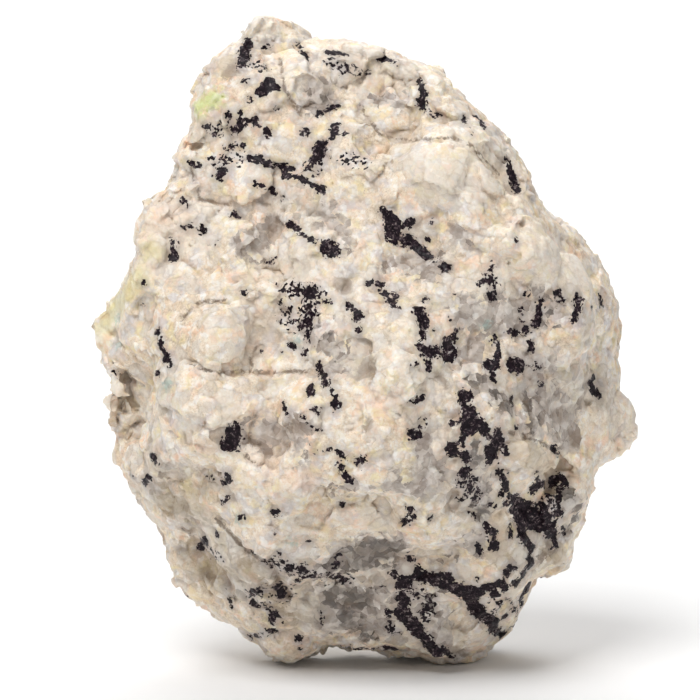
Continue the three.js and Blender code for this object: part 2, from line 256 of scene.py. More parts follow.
def with_modifier(obj, kind, **settings):
    """Applies one modifier to an object's mesh."""
    modifier = obj.modifiers.new(kind.lower(), kind)
    for name, value in settings.items():
        setattr(modifier, name, value)
    graph = bpy.context.evaluated_depsgraph_get()
    finished = bpy.data.meshes.new_from_object(obj.evaluated_get(graph))
    obj.modifiers.clear()
    old = obj.data
    obj.data = finished
    bpy.data.meshes.remove(old)


with_modifier(stone, "REMESH", mode="VOXEL", voxel_size=VOXEL)
with_modifier(stone, "SMOOTH", factor=0.5, iterations=MELT_STEPS)
print("vertices of the melted skin:", len(stone.data.vertices))

# %% Read and write the skin's points


def skin_points(obj):
    """The mesh's points, n by 3, in metres."""
    points = np.empty(len(obj.data.vertices) * 3)
    obj.data.vertices.foreach_get("co", points)
    return points.reshape(-1, 3)


def skin_normals(obj):
    """The mesh's normals at its points, n by 3."""
    normals = np.empty(len(obj.data.vertices) * 3)
    obj.data.vertices.foreach_get("normal", normals)
    return normals.reshape(-1, 3)


def move_skin(obj, points):
    """Puts the mesh's points somewhere else."""
    obj.data.vertices.foreach_set("co", points.ravel())
    obj.data.update()


# %% Find a pixel of the photograph on the stone
PATH_STEP = 6  # pixels between the points of a path on the stone


def search_tree(mesh):
    """What a ray or a nearest point is searched in."""
    bm = bmesh.new()
    bm.from_mesh(mesh)
    tree = BVHTree.FromBMesh(bm)
    bm.free()
    return tree


def from_camera(x, y):
    """From the camera to a pixel of the photograph, as far off as the stone's middle."""
    return RIGHT * (x - PHOTO_SIDE / 2) * PIXEL + UP * (PHOTO_SIDE / 2 - y) * PIXEL - BACK * distance


def stone_hit(x, y):
    """The point of the stone that shows at a pixel of the photograph, or None beside it."""
    return skin.ray_cast(camera.location, from_camera(x, y).normalized())[0]


def on_stone(x, y):
    """The same, or the stone's nearest point for a pixel beside it."""
    hit = stone_hit(x, y)
    if hit is None:
        hit = skin.find_nearest(camera.location + from_camera(x, y))[0]
    return hit


def laid_on_stone(mark):
    """A mark as (radius, points on the stone)."""
    width, *corners = mark
    steps = []
    for (x0, y0), (x1, y1) in zip(corners, corners[1:]):
        count = max(1, round(math.hypot(x1 - x0, y1 - y0) / PATH_STEP))
        steps += [(x0 + (x1 - x0) * i / count, y0 + (y1 - y0) * i / count) for i in range(count)]
    steps.append(corners[-1])
    return width / 2 * PIXEL, [on_stone(x, y) for x, y in steps]


# %% [markdown]
# ## Lumps and hollows
#
# The lumps that catch the eye in the photograph are raised where they are seen there, each a soft
# dome with a place and a width in pixels and a height in millimetres. Below zero it is a hollow.
# The sides that the photograph doesn't show get seeded ones of the same sizes.

# %% Lumps seen in the photograph
LUMPS = [
    (270, 38, 18, 0.8), (262, 130, 13, 0.7), (285, 146, 22, 0.8), (205, 185, 20, 0.8),
    (262, 176, 18, 0.8), (228, 150, 11, 0.5), (238, 228, 21, 1.0), (302, 252, 23, 1.1),
    (302, 285, 15, 0.7), (225, 266, 18, 0.7), (170, 280, 17, 0.6), (155, 215, 20, 0.6),
    (330, 200, 16, 0.6), (216, 335, 38, 2.0), (200, 352, 18, 0.5), (240, 330, 16, 0.4),
    (215, 410, 22, 0.7), (130, 350, 15, 0.6), (140, 440, 18, 0.6), (376, 125, 19, 0.8),
    (430, 128, 25, 0.8), (425, 172, 42, 1.7), (400, 190, 20, 0.5), (476, 230, 12, 0.8),
    (395, 365, 25, 1.1), (345, 385, 20, 0.6), (442, 305, 13, 0.6), (465, 290, 16, 0.6),
    (545, 250, 36, 0.8), (540, 415, 34, 0.9), (610, 428, 20, 0.5), (505, 408, 14, 0.6),
    (522, 450, 24, 0.8), (430, 455, 20, 0.6), (385, 430, 22, 0.6), (290, 480, 26, 0.8),
    (250, 472, 16, 0.5), (310, 520, 20, 0.6), (370, 520, 24, 0.7), (430, 540, 28, 0.9),
    (200, 580, 22, 0.6), (280, 650, 18, 0.8), (312, 640, 14, 0.8), (475, 648, 18, 0.7),
    (440, 610, 20, 0.6), (492, 605, 10, 0.8), (513, 597, 9, 0.8), (345, 620, 18, 0.6),
    (185, 560, 22, 1.0), (215, 592, 20, 1.0), (242, 600, 17, 0.9), (175, 520, 18, 0.9),
    (235, 562, 18, 0.8), (208, 500, 20, 0.8), (265, 545, 18, 0.6), (288, 605, 16, 0.8),
    (255, 630, 14, 0.7), (228, 618, 12, 0.7), (195, 535, 13, -0.6), (225, 577, 11, -0.6),
    (545, 530, 14, 0.6), (515, 565, 16, 0.7), (118, 388, 18, 0.9), (122, 408, 20, 1.4),
    (575, 505, 16, 0.6), (556, 560, 15, 0.5), (480, 636, 16, 0.6), (320, 168, 14, -0.8),
    (275, 226, 16, -0.8), (345, 286, 10, -0.7), (306, 312, 14, -0.6), (402, 262, 14, -0.6),
    (365, 345, 10, -0.5), (255, 445, 14, -0.6), (470, 430, 14, -0.5), (530, 512, 20, -0.5),
    (550, 482, 12, -0.6), (375, 560, 26, -0.5), (225, 76, 10, -0.6), (405, 595, 12, -0.4),
    (240, 552, 14, -0.5),
]
BEHIND = 4 * MM  # farther back than this is taken as out of the photograph's sight
HIDDEN_LUMPS = 110
HIDDEN_WIDTH = (1.8 * MM, 5.5 * MM)
HIDDEN_HEIGHT = 1.3 * MM
DOME_POWER = 1.4  # 1 would end a dome in a sharp edge, 2 in a soft one
RING_SHARE = 0.28  # a groove round each lump, as a share of its height
RING_WIDTH = 0.14
LUMP_WAVES = (9 * MM, 1.3 * MM)  # how long and high the waves are that bend a lump's outline

# %% Waves that bend outlines
WAVES = 3


def wavy(points, length, height):
    """The points, each pushed aside by a few waves, so that plain outlines wander."""
    rng = np.random.default_rng(3)
    bent = points.copy()
    for _ in range(WAVES):
        along = rng.normal(size=(3, 3))
        along /= np.linalg.norm(along, axis=1)[:, None]
        phase = rng.uniform(0, math.tau, 3)
        bent += height / WAVES * np.sin(points @ along.T * math.tau / length + phase)
    return bent


# %% Raise the lumps
skin = search_tree(stone.data)
points = skin_points(stone)
normals = skin_normals(stone)
domes = [(on_stone(x, y), width * PIXEL, height * MM) for x, y, width, height in LUMPS]
rng = np.random.default_rng(17)
behind = np.flatnonzero(points[:, 1] > BEHIND)
for place in rng.choice(behind, HIDDEN_LUMPS):
    width = HIDDEN_WIDTH[0] * (HIDDEN_WIDTH[1] / HIDDEN_WIDTH[0]) ** rng.random()
    height = HIDDEN_HEIGHT * rng.uniform(-0.5, 1) * width / HIDDEN_WIDTH[1]
    domes.append((Vector(points[place]), width, height))
bent = wavy(points, *LUMP_WAVES)
lift = np.zeros(len(points))
for centre, width, height in domes:
    bent_centre = wavy(np.array([centre]), *LUMP_WAVES)[0]
    away = np.linalg.norm(bent - bent_centre, axis=1) / width
    lift += height * np.maximum(1 - away**2, 0) ** DOME_POWER
    if height > 0:
        lift -= RING_SHARE * height * np.exp(-(((away - 1) / RING_WIDTH) ** 2))
move_skin(stone, points + normals * lift[:, None])
print("lumps:", len(domes), "highest, mm:", round(lift.max() / MM, 2))

# %% [markdown]
# ## Grains
#
# Between the blocks the rock is granular. Each grain has its own flat face, tilted its own way, so a
# border between two grains is a small step or a crease. A set of random centres makes the grains:
# each point of the skin belongs to its nearest centre, and moves to that grain's tilted plane.

# %% Find the grains
LEAST_FACING = 0.4  # keeps a point on a steep grain from moving too far


class Grains:
    """Grains about one spacing across: which one each point is in, and how far its border is."""

    def __init__(self, points, spacing, seed):
        rng = np.random.default_rng(seed)
        low = points.min(0) - spacing
        high = points.max(0) + spacing
        count = int(np.prod((high - low) / spacing))
        self.centres = rng.uniform(low, high, (count, 3))
        tree = KDTree(count)
        for i, centre in enumerate(self.centres.tolist()):
            tree.insert(centre, i)
        tree.balance()
        found = [tree.find_n(p, 2) for p in points.tolist()]
        self.own = np.array([f[0][1] for f in found])
        self.border = np.array([f[1][2] - f[0][2] for f in found])
        self.rng = rng

    def random(self):
        """One random number from 0 to 1 for each grain, given to its points."""
        return self.rng.random(len(self.centres))[self.own]

    def flattened(self, points, normals, lean, step):
        """How far each point is from its grain's flat face, leaned and stepped up or down."""
        count = np.bincount(self.own, minlength=len(self.centres))
        count = np.maximum(count, 1)[:, None]
        middle = self.summed(points) / count
        facing = self.summed(normals) / count
        facing += self.rng.normal(0, lean, facing.shape)
        facing /= np.maximum(np.linalg.norm(facing, axis=1), 1e-9)[:, None]
        flat = facing[self.own]
        across = np.maximum((normals * flat).sum(1), LEAST_FACING)
        steps = self.rng.uniform(-step, step, len(self.centres))[self.own]
        return ((middle[self.own] - points) * flat).sum(1) / across + steps

    def summed(self, values):
        """The sum of the points' values in each grain, n by 3."""
        columns = [np.bincount(self.own, v, minlength=len(self.centres)) for v in values.T]
        return np.stack(columns, axis=1)

    def crease(self, depth, width):
        """A groove along the borders between grains."""
        return -depth * np.exp(-self.border / width)


# %% How far a point is from a mark
FAR = 6.0 * MM


def distance_to(points, table):
    """How far each point is from the nearest mark's edge, less than 0 inside it."""
    nearest = np.full(len(points), FAR)
    for radius, path in table:
        path = np.array(path)
        reach = radius + FAR
        inside = np.all((points > path.min(0) - reach) & (points < path.max(0) + reach), axis=1)
        picked = np.flatnonzero(inside)
        some = points[picked]
        ends = path[1:] if len(path) > 1 else path
        for a, b in zip(path[: len(ends)], ends):
            along = b - a
            share = np.clip((some - a) @ along / max(along @ along, 1e-12), 0, 1)
            gap = np.linalg.norm(some - a - share[:, None] * along, axis=1) - radius
            nearest[picked] = np.minimum(nearest[picked], gap)
    return nearest


# %% Deep creases
CREASES = [
    (2, (188, 362), (205, 370), (225, 373), (250, 371), (262, 373), (310, 371)),
    (3, (217, 520), (245, 550), (270, 565), (290, 600)), (2, (258, 345), (250, 358), (252, 368)),
    (2, (360, 105), (380, 135), (400, 140), (455, 138), (470, 145), (500, 175)),
    (2, (245, 455), (262, 468)), (2, (228, 300), (200, 302), (180, 320)),
    (2, (510, 432), (540, 442), (556, 452)), (2, (190, 165), (200, 200), (230, 205)),
    (2, (280, 60), (285, 90), (300, 115)),
]
CREASE_DEPTH = 0.55 * MM
CREASE_WIDTH = 0.4 * MM

# %% Smooth crystals
# Where one feldspar or quartz crystal is wider than the grains around it, its face is smoother.
SMOOTH = [
    (64, (400, 172), (460, 180)), (56, (205, 332), (235, 335)), (36, (360, 125), (440, 125)),
    (30, (262, 176)), (34, (205, 183)), (38, (300, 258)), (40, (395, 365)),
    (56, (520, 250), (580, 268)), (50, (605, 430)), (26, (518, 448), (550, 470)),
    (26, (554, 562), (562, 556)), (36, (510, 440), (545, 460)), (40, (480, 310)), (44, (540, 410)),
    (30, (475, 648)), (30, (280, 650)), (24, (312, 640)), (36, (235, 226)), (38, (285, 480)),
    (40, (310, 520), (370, 520)), (40, (420, 545)), (40, (340, 560), (390, 555)),
    (30, (340, 610), (370, 610)), (24, (285, 145)),
]
HIDDEN_SMOOTH = 60
HIDDEN_SMOOTH_RADIUS = (2, 5)  # mm
SMOOTH_SHARE = 0.75  # how much of the grains' relief a smooth crystal loses

skin = search_tree(stone.data)
smooth_marks = [laid_on_stone(m) for m in SMOOTH]
rng = np.random.default_rng(19)
points = skin_points(stone)
behind = np.flatnonzero(points[:, 1] > BEHIND)
for place in rng.choice(behind, HIDDEN_SMOOTH):
    smooth_marks.append((rng.uniform(*HIDDEN_SMOOTH_RADIUS) * MM, [Vector(points[place])]))
smooth_gap = distance_to(points, smooth_marks) / MM
crease_gap = distance_to(points, [laid_on_stone(m) for m in CREASES])
rough_share = 1 - SMOOTH_SHARE * np.clip(0.5 - smooth_gap / 2, 0, 1)
print("share of the skin that is smooth:", round(float((rough_share < 0.5).mean()), 3))

# %% Raise the grains
LARGE_GRAIN = 6.5 * MM
MIDDLE_GRAIN = 3.0 * MM
SMALL_GRAIN = 1.4 * MM
GRAIN_LAYERS = [  # spacing, seed, share, lean, then in mm: step, depth and width of a crease
    (LARGE_GRAIN, 21, 0.4, 0.12, 0.3, 0.35, 0.55),
    (MIDDLE_GRAIN, 22, 0.4, 0.2, 0.16, 0.26, 0.4),
    (SMALL_GRAIN, 23, 0.35, 0.25, 0.1, 0.12, 0.25),
]
GRAIN_WAVES = (5 * MM, 0.5 * MM)
MOST_RELIEF = 0.7 * MM


def grain_relief(relief, spacing, seed, share, lean, step, depth, width):
    """A relief with a layer of grains added: a share of their flat faces, and their creases."""
    grains = Grains(bent, spacing, seed)
    relief = relief + share * grains.flattened(points, normals, lean, step * MM)
    return relief + grains.crease(depth * MM, width * MM)


normals = skin_normals(stone)
bent = wavy(points, *GRAIN_WAVES)
large, middle, small = GRAIN_LAYERS
relief = grain_relief(0, *large)
fine_relief = grain_relief(grain_relief(0, *middle), *small)
relief += fine_relief * rough_share
relief = np.clip(relief, -MOST_RELIEF, MOST_RELIEF)
relief -= CREASE_DEPTH * np.exp(-np.maximum(crease_gap, 0) / CREASE_WIDTH)
points = points + normals * relief[:, None]
print("relief, mm:", round(relief.min() / MM, 2), "to", round(relief.max() / MM, 2))

# %% Keep it in its box and flat under the foot
BOX_ROOM = 0.4 * MM
EASE_STEPS = 1
low = np.array(cad_box[0]) - BOX_ROOM
high = np.array(cad_box[1]) + BOX_ROOM
low[2] = 0
move_skin(stone, np.clip(points, low, high))
with_modifier(stone, "SMOOTH", factor=0.5, iterations=EASE_STEPS)

# %% Keep the faces where the relief needs them


def keep_largest_piece(obj):
    """Takes away the specks that the remesh left apart from the stone. Returns how many."""
    bm = bmesh.new()
    bm.from_mesh(obj.data)
    waiting = set(bm.verts)
    pieces = []
    while waiting:
        piece = [waiting.pop()]
        for vertex in piece:
            for edge in vertex.link_edges:
                other = edge.other_vert(vertex)
                if other in waiting:
                    waiting.remove(other)
                    piece.append(other)
        pieces.append(piece)
    pieces.sort(key=len)
    specks = [vertex for piece in pieces[:-1] for vertex in piece]
    bmesh.ops.delete(bm, geom=specks, context="VERTS")
    bm.to_mesh(obj.data)
    bm.free()
    return len(pieces) - 1


MOST_TRIANGLES = 196000
SHARP_ANGLE = 60  # an edge that turns more than this stays crisp
triangles = sum(len(p.vertices) - 2 for p in stone.data.polygons)
with_modifier(stone, "DECIMATE", ratio=MOST_TRIANGLES / triangles)
print("loose specks taken away:", keep_largest_piece(stone))
stone.data.set_sharp_from_angle(angle=math.radians(SHARP_ANGLE))
print("triangles:", triangles, "cut to", len(stone.data.polygons))

# %% [markdown]
# ## Where the minerals lie
#
# Each mark is a short path with a width, read off the photograph in its pixels, and a ray through
# each of its points finds it on the stone. The mesh then keeps, for each of its points, how far the
# nearest mark of each kind is. The material turns those distances into ragged edges, so the marks
# stay crisp however wide the mesh's own faces are.

# %% Black streaks and flecks
# A mark is its width, then its points, all in pixels of the photograph.
BLACK_CREST = [
    (9, (248, 44), (241, 66)), (3, (263, 48), (270, 43)), (4, (298, 45), (307, 60)), (8, (328, 52)),
    (3, (328, 50), (350, 57)), (7, (345, 65), (358, 73)), (5, (332, 65)), (5, (368, 74)),
    (5, (244, 81)), (10, (270, 82), (261, 92)), (5, (277, 88)), (5, (275, 107)), (3, (250, 99)),
    (4, (318, 114), (337, 106)), (8, (230, 116)), (5, (240, 113)), (7, (243, 120), (235, 132)),
    (5, (248, 120), (256, 120)), (5, (256, 124), (271, 134)), (7, (305, 132)),
    (8, (335, 127), (332, 138)), (16, (322, 148), (319, 153)), (9, (314, 160), (309, 167)),
    (5, (316, 172)), (4, (345, 133)), (4, (225, 148), (243, 145)), (5, (187, 163), (200, 166)),
    (6, (252, 158), (272, 165), (292, 168)), (5, (285, 175), (300, 178), (323, 191)),
    (6, (217, 177), (224, 170)), (3, (183, 198), (186, 207)), (9, (235, 215)),
    (4, (182, 228), (192, 226)), (5, (200, 227), (205, 231)), (6, (173, 240), (173, 257)),
    (6, (290, 225), (302, 233), (315, 242)), (15, (327, 246), (333, 250)),
    (4, (268, 263), (274, 260)), (4, (244, 291), (244, 295)), (4, (143, 304)), (3, (143, 283)),
    (3, (204, 127), (208, 127)), (3, (284, 198)), (3, (217, 243)),
    (2, (255, 184), (270, 187), (274, 194)),
]
BLACK_UPPER_RIGHT = [
    (6, (380, 58), (396, 62)), (3, (418, 80), (424, 95)), (10, (420, 104)),
    (4, (423, 108), (430, 114), (444, 116)), (4, (465, 118), (465, 123)),
    (7, (478, 119), (483, 126)), (5, (472, 134)), (7, (506, 158), (510, 172), (516, 190)),
    (9, (384, 211), (388, 222)), (16, (391, 223), (393, 233)), (9, (409, 223)), (5, (432, 224)),
    (8, (396, 238), (410, 241), (425, 254)), (5, (427, 238)), (7, (433, 259)),
    (6, (443, 266), (448, 268)), (4, (516, 241)), (3, (367, 284), (372, 284)),
    (8, (377, 283), (381, 286)), (6, (384, 293), (389, 299), (393, 304)),
    (8, (393, 296), (396, 296)), (5, (394, 305), (398, 310)), (6, (425, 300)),
]
BLACK_RIGHT = [
    (7, (349, 305), (354, 309), (359, 317)), (5, (356, 323), (359, 331)),
    (12, (420, 312), (425, 325)), (5, (417, 308), (424, 338)), (9, (420, 346), (423, 349)),
    (7, (430, 349), (430, 354)), (6, (428, 362), (430, 369)), (4, (415, 364), (418, 363)),
    (9, (446, 342), (448, 348)), (5, (454, 336), (455, 342)),
    (7, (439, 352), (444, 358), (451, 358), (454, 352)), (4, (456, 330)), (3, (451, 320)),
    (3, (433, 330)), (5, (480, 283), (490, 282)), (4, (489, 270), (494, 266)),
    (5, (490, 288), (491, 298)), (6, (525, 294)), (7, (558, 292), (562, 298)),
    (7, (541, 302), (538, 315), (537, 323)), (9, (579, 298), (577, 310), (575, 320)),
    (5, (600, 297), (601, 304)), (4, (591, 308)), (3, (594, 321)), (3, (521, 310), (523, 320)),
    (5, (510, 330), (516, 335)), (8, (526, 331)), (3, (530, 342), (532, 352)), (8, (494, 340)),
    (5, (497, 350), (498, 358)), (10, (488, 366), (496, 366)), (5, (492, 372), (493, 380)),
    (14, (512, 364), (518, 366)), (8, (530, 366), (536, 367)), (4, (593, 378)),
    (7, (589, 384), (600, 396)), (3, (541, 384)), (4, (513, 398), (511, 409)), (3, (516, 427)),
    (5, (551, 447), (558, 453)), (9, (412, 433), (417, 434)), (5, (420, 428), (424, 420)),
    (4, (411, 399), (417, 400), (422, 397)),
]
BLACK_STREAM = [
    (9, (463, 394), (469, 396)), (7, (463, 400), (465, 409)), (17, (470, 414), (469, 427)),
    (7, (453, 422), (460, 421)), (9, (479, 421), (489, 438)),
    (14, (496, 435), (495, 443), (491, 451)), (7, (501, 440), (507, 453)), (5, (489, 462)),
    (10, (449, 446), (452, 448)), (8, (452, 453), (466, 455)), (5, (463, 440), (464, 446)),
    (6, (467, 461), (466, 468)), (9, (461, 476), (467, 472)), (4, (472, 475), (474, 478)),
    (4, (475, 480), (479, 492)), (4, (461, 481), (463, 484)), (5, (469, 482), (471, 489)),
    (4, (459, 499), (463, 501)), (4, (472, 496), (474, 500)), (2, (496, 457), (500, 470)),
    (5, (500, 470), (504, 480), (508, 491)), (9, (510, 496), (519, 502)),
    (17, (517, 506), (531, 514), (545, 522)), (17, (514, 510), (528, 520), (542, 524)),
    (12, (522, 529), (523, 536)), (8, (547, 524), (549, 532)),
    (4, (509, 520), (510, 530), (511, 539)), (6, (490, 504), (494, 507)),
    (3, (503, 504), (507, 504)), (4, (501, 494)), (9, (533, 486), (535, 490)),
    (4, (536, 473), (538, 481)), (6, (540, 484), (551, 484)),
    (7, (552, 478), (560, 476), (564, 484), (558, 489)), (6, (549, 494)), (5, (551, 502)),
    (4, (559, 492), (559, 508)), (9, (556, 515), (559, 515)), (7, (541, 505), (546, 513)),
    (9, (552, 530), (554, 545)), (4, (562, 524), (564, 534)), (8, (526, 541), (532, 548)),
    (10, (493, 534)), (10, (493, 545)), (5, (477, 545), (479, 552)), (5, (485, 523), (489, 528)),
    (3, (471, 512), (474, 516)), (5, (410, 509)), (6, (402, 522), (415, 517)), (3, (430, 519)),
]
BLACK_BANDS = [
    (5, (408, 553), (412, 559)), (10, (418, 570), (420, 575)),
    (6, (391, 573), (402, 579), (424, 578)), (13, (401, 584), (405, 585)),
    (11, (425, 575), (437, 581), (449, 587)), (5, (437, 575), (446, 575), (454, 580)),
    (16, (456, 589), (469, 594), (474, 600)), (14, (463, 589), (477, 592)),
    (14, (475, 604), (477, 612)), (14, (479, 614), (489, 619), (495, 626)),
    (10, (491, 629), (501, 634), (509, 635)), (8, (482, 589), (494, 585), (503, 583)),
    (8, (494, 592), (497, 597)), (6, (504, 581), (505, 590)), (5, (506, 572), (506, 576)),
    (5, (511, 566), (516, 568)), (6, (523, 571), (523, 576)), (8, (528, 558), (531, 564)),
    (6, (515, 580), (516, 584)), (13, (529, 582), (524, 594)), (6, (520, 598), (523, 604)),
    (2, (504, 594), (511, 603), (517, 614)), (6, (505, 616)), (3, (500, 602)), (4, (477, 579)),
    (9, (401, 592), (404, 604)), (16, (403, 613), (411, 622), (415, 628)),
    (13, (416, 632), (426, 639)), (14, (425, 643), (433, 651), (438, 656)),
    (5, (443, 650), (452, 657)), (3, (389, 611), (389, 622)), (4, (391, 631), (398, 632)),
    (4, (381, 648), (400, 650)), (3, (382, 585), (385, 586)), (2, (321, 612), (323, 624)),
]
BLACK_LEFT = [
    (6, (157, 333), (161, 348), (167, 360)), (5, (172, 366)), (5, (157, 374)), (3, (262, 351)),
    (9, (308, 293), (313, 293)), (3, (318, 302), (330, 301)), (8, (303, 324), (311, 324)),
    (4, (307, 333), (309, 346), (304, 353)), (4, (288, 345), (294, 347)), (3, (282, 350)),
    (4, (281, 301)), (3, (291, 308)), (7, (319, 364), (322, 374), (327, 383)), (9, (325, 382)),
    (4, (331, 389), (337, 398)), (9, (336, 403), (335, 406)), (8, (310, 388), (312, 392)),
    (5, (282, 403), (287, 413)), (3, (304, 418)), (4, (318, 414)), (2, (311, 409), (320, 410)),
    (3, (311, 427)), (3, (319, 430)), (14, (235, 430), (232, 445)), (9, (240, 436)),
    (10, (226, 446)), (6, (152, 456), (156, 462)), (5, (133, 475)), (7, (150, 477), (143, 482)),
    (2, (200, 476), (212, 477)), (6, (228, 476)), (8, (224, 483), (230, 480)),
    (5, (224, 502), (229, 497)), (4, (239, 519), (244, 515)), (6, (276, 512), (276, 515)),
    (2, (273, 532)), (3, (279, 551)), (3, (313, 446), (316, 451)), (4, (327, 450), (329, 448)),
    (4, (340, 453), (344, 456)), (7, (341, 465), (345, 474), (350, 480)),
    (7, (355, 461), (362, 461)), (5, (343, 504)), (6, (216, 532), (218, 536)),
    (7, (201, 547), (206, 540)), (4, (184, 528)), (2, (212, 558)), (4, (308, 541)),
    (3, (272, 558), (276, 566)), (4, (280, 561), (283, 563)), (6, (288, 567), (291, 571)),
    (6, (303, 569), (306, 570)), (6, (297, 582), (303, 577)), (6, (311, 575), (315, 580)),
    (3, (294, 585)), (5, (333, 568), (338, 563)), (4, (338, 555)), (6, (340, 576), (344, 580)),
    (3, (326, 577), (333, 576)), (2, (251, 550), (260, 560), (272, 568), (280, 574)),
    (11, (253, 603), (256, 605)), (5, (250, 597), (253, 590)), (5, (258, 589), (263, 594)),
    (5, (230, 601), (232, 606)), (3, (231, 597)), (3, (227, 587)), (8, (278, 588), (282, 595)),
    (9, (272, 619), (276, 614)), (5, (268, 630), (276, 631)), (4, (263, 634), (250, 638)),
    (4, (298, 637), (299, 645)), (5, (301, 649)), (7, (307, 662)), (3, (182, 591), (186, 595)),
]
BLACK = BLACK_CREST + BLACK_UPPER_RIGHT + BLACK_RIGHT + BLACK_STREAM + BLACK_BANDS + BLACK_LEFT

# %% Where the black is only a scatter of specks
SPECKLED = [
    (12, (265, 67), (252, 66)), (9, (215, 161), (240, 160)), (12, (346, 160), (360, 160)),
    (14, (284, 290), (300, 290), (316, 292)), (16, (305, 302), (312, 315), (302, 324)),
    (14, (284, 318), (295, 322)), (9, (116, 375)), (11, (358, 462)), (11, (453, 297)),
    (15, (463, 478), (475, 498)), (15, (270, 562), (290, 570), (318, 577), (350, 578)),
    (14, (252, 596), (260, 592)), (14, (276, 588), (284, 596)), (12, (452, 297)),
    (10, (268, 605), (275, 622)), (14, (392, 631)), (14, (550, 500), (556, 520), (548, 535)),
    (11, (450, 350), (425, 352)), (10, (345, 72), (330, 62)), (9, (230, 128), (216, 132)),
    (10, (310, 178), (325, 150)), (10, (489, 280), (492, 292)),
    (16, (410, 590), (430, 600), (425, 615)), (9, (345, 648), (395, 650)),
    (9, (490, 600), (500, 610)), (10, (205, 548), (222, 560)),
]

# %% Grey quartz
QUARTZ = [
    (30, (318, 95)), (14, (378, 100), (395, 100)), (28, (250, 240), (260, 246)), (20, (275, 228)),
    (24, (400, 262), (430, 265)), (14, (458, 236)), (34, (470, 312), (490, 318)),
    (20, (468, 368), (478, 384)), (22, (490, 392), (520, 416)), (18, (540, 432), (562, 440)),
    (16, (540, 363), (552, 366)), (24, (505, 312), (550, 310)), (42, (530, 405), (565, 420)),
    (24, (572, 440)), (22, (470, 350)), (28, (260, 430), (285, 435)), (16, (335, 370)),
    (24, (308, 330), (330, 345)), (18, (340, 490), (400, 485)), (22, (420, 490)),
    (22, (425, 450), (430, 480)), (40, (335, 558), (395, 550)), (32, (325, 592), (378, 600)),
    (26, (335, 620), (375, 622)), (16, (425, 625), (440, 640)), (28, (428, 600), (436, 618)),
    (26, (568, 508)), (18, (437, 563), (462, 548), (470, 540)), (14, (480, 508), (476, 450)),
    (12, (195, 535)), (20, (300, 430), (296, 455)), (16, (330, 215), (345, 240)),
]
DARK_QUARTZ = [
    (34, (340, 560), (388, 553)), (18, (550, 312)), (12, (525, 398), (530, 425)),
    (8, (494, 394), (512, 412)), (8, (470, 372), (474, 380)), (12, (573, 520), (580, 508)),
    (22, (335, 590), (362, 596)), (16, (345, 622), (365, 640)), (14, (430, 592), (436, 612)),
    (14, (440, 563), (452, 556)), (16, (483, 506), (481, 514)), (14, (478, 446), (478, 456)),
    (8, (322, 98)), (12, (568, 500)), (14, (541, 558), (548, 552)), (12, (316, 322), (320, 332)),
]

# %% Stains and tints
PEACH = [
    (30, (145, 240), (165, 215)), (34, (250, 412), (270, 470)), (30, (285, 480), (305, 478)),
    (22, (325, 280)), (26, (375, 400), (400, 405)), (20, (475, 228)), (24, (205, 450)),
    (22, (285, 600), (290, 640)),
]
LIME = [(22, (199, 107), (212, 98))]
YELLOW = [(24, (103, 330), (118, 302), (137, 282)), (14, (100, 355)), (16, (150, 250))]
# Greyed zones: partly greyer feldspar, partly painted shade on the faces that turn down and away from
# the light, at the bottom and on the lower right.
GREYED_AND_SHADED = [
    (36, (305, 590), (300, 620)), (30, (575, 505), (568, 530)), (20, (540, 562), (520, 590)),
    (56, (330, 610), (400, 630)), (50, (300, 570), (400, 575)), (40, (420, 600), (440, 640)),
    (40, (470, 520), (470, 470)), (44, (430, 440), (425, 490)), (40, (530, 380), (600, 385)),
    (30, (545, 540), (515, 560)), (70, (200, 530), (250, 590)), (36, (155, 450), (160, 500)),
    (24, (170, 380), (165, 400)), (24, (300, 205), (320, 215)), (24, (375, 350), (365, 375)),
    (24, (500, 395), (530, 440)),
]
TURQUOISE = [
    (7, (118, 319)), (9, (118, 345)), (9, (168, 386)), (7, (298, 340)), (6, (292, 541)),
    (9, (237, 520)), (7, (486, 325)),
]
OLIVE = [
    (26, (168, 498), (200, 510)), (18, (240, 570), (262, 574)), (20, (278, 600), (286, 620)),
    (30, (190, 560), (215, 585)), (30, (205, 490), (165, 505)), (10, (345, 495), (365, 497)),
    (16, (276, 580), (284, 612)), (12, (570, 475)), (14, (550, 548), (562, 566)),
    (22, (232, 130), (205, 130)), (14, (200, 560), (240, 575)),
]
# Pale zones: mostly painted light on the rims and ridges that face the light and on the lower edges
# lit from the floor, partly paler feldspar.
PALE_AND_LIT = [
    (20, (276, 80)), (16, (320, 420)), (20, (330, 490)), (16, (426, 608)), (24, (338, 232)),
    (26, (420, 338), (412, 325)), (40, (120, 400), (128, 380)), (22, (555, 465), (560, 475)),
    (70, (540, 245), (580, 270)), (60, (470, 150), (500, 180)), (40, (345, 62), (410, 78)),
    (26, (270, 36)), (40, (470, 290), (500, 282)), (50, (160, 255), (195, 225)),
    (50, (430, 175), (470, 185)), (40, (250, 330), (245, 350)), (40, (230, 420), (250, 450)),
    (34, (600, 400), (620, 430)), (30, (470, 640), (488, 636)), (26, (280, 655)),
    (30, (375, 510), (385, 535)), (30, (410, 350), (430, 400)), (40, (262, 262), (300, 270)),
    (24, (365, 280)), (24, (205, 130)), (10, (488, 598), (500, 618)), (8, (508, 592), (519, 608)),
]
BEIGE = [
    (26, (518, 448), (550, 470)), (26, (554, 562), (562, 556)), (16, (450, 620), (462, 642)),
    (24, (228, 66)), (20, (500, 520), (500, 555)),
]
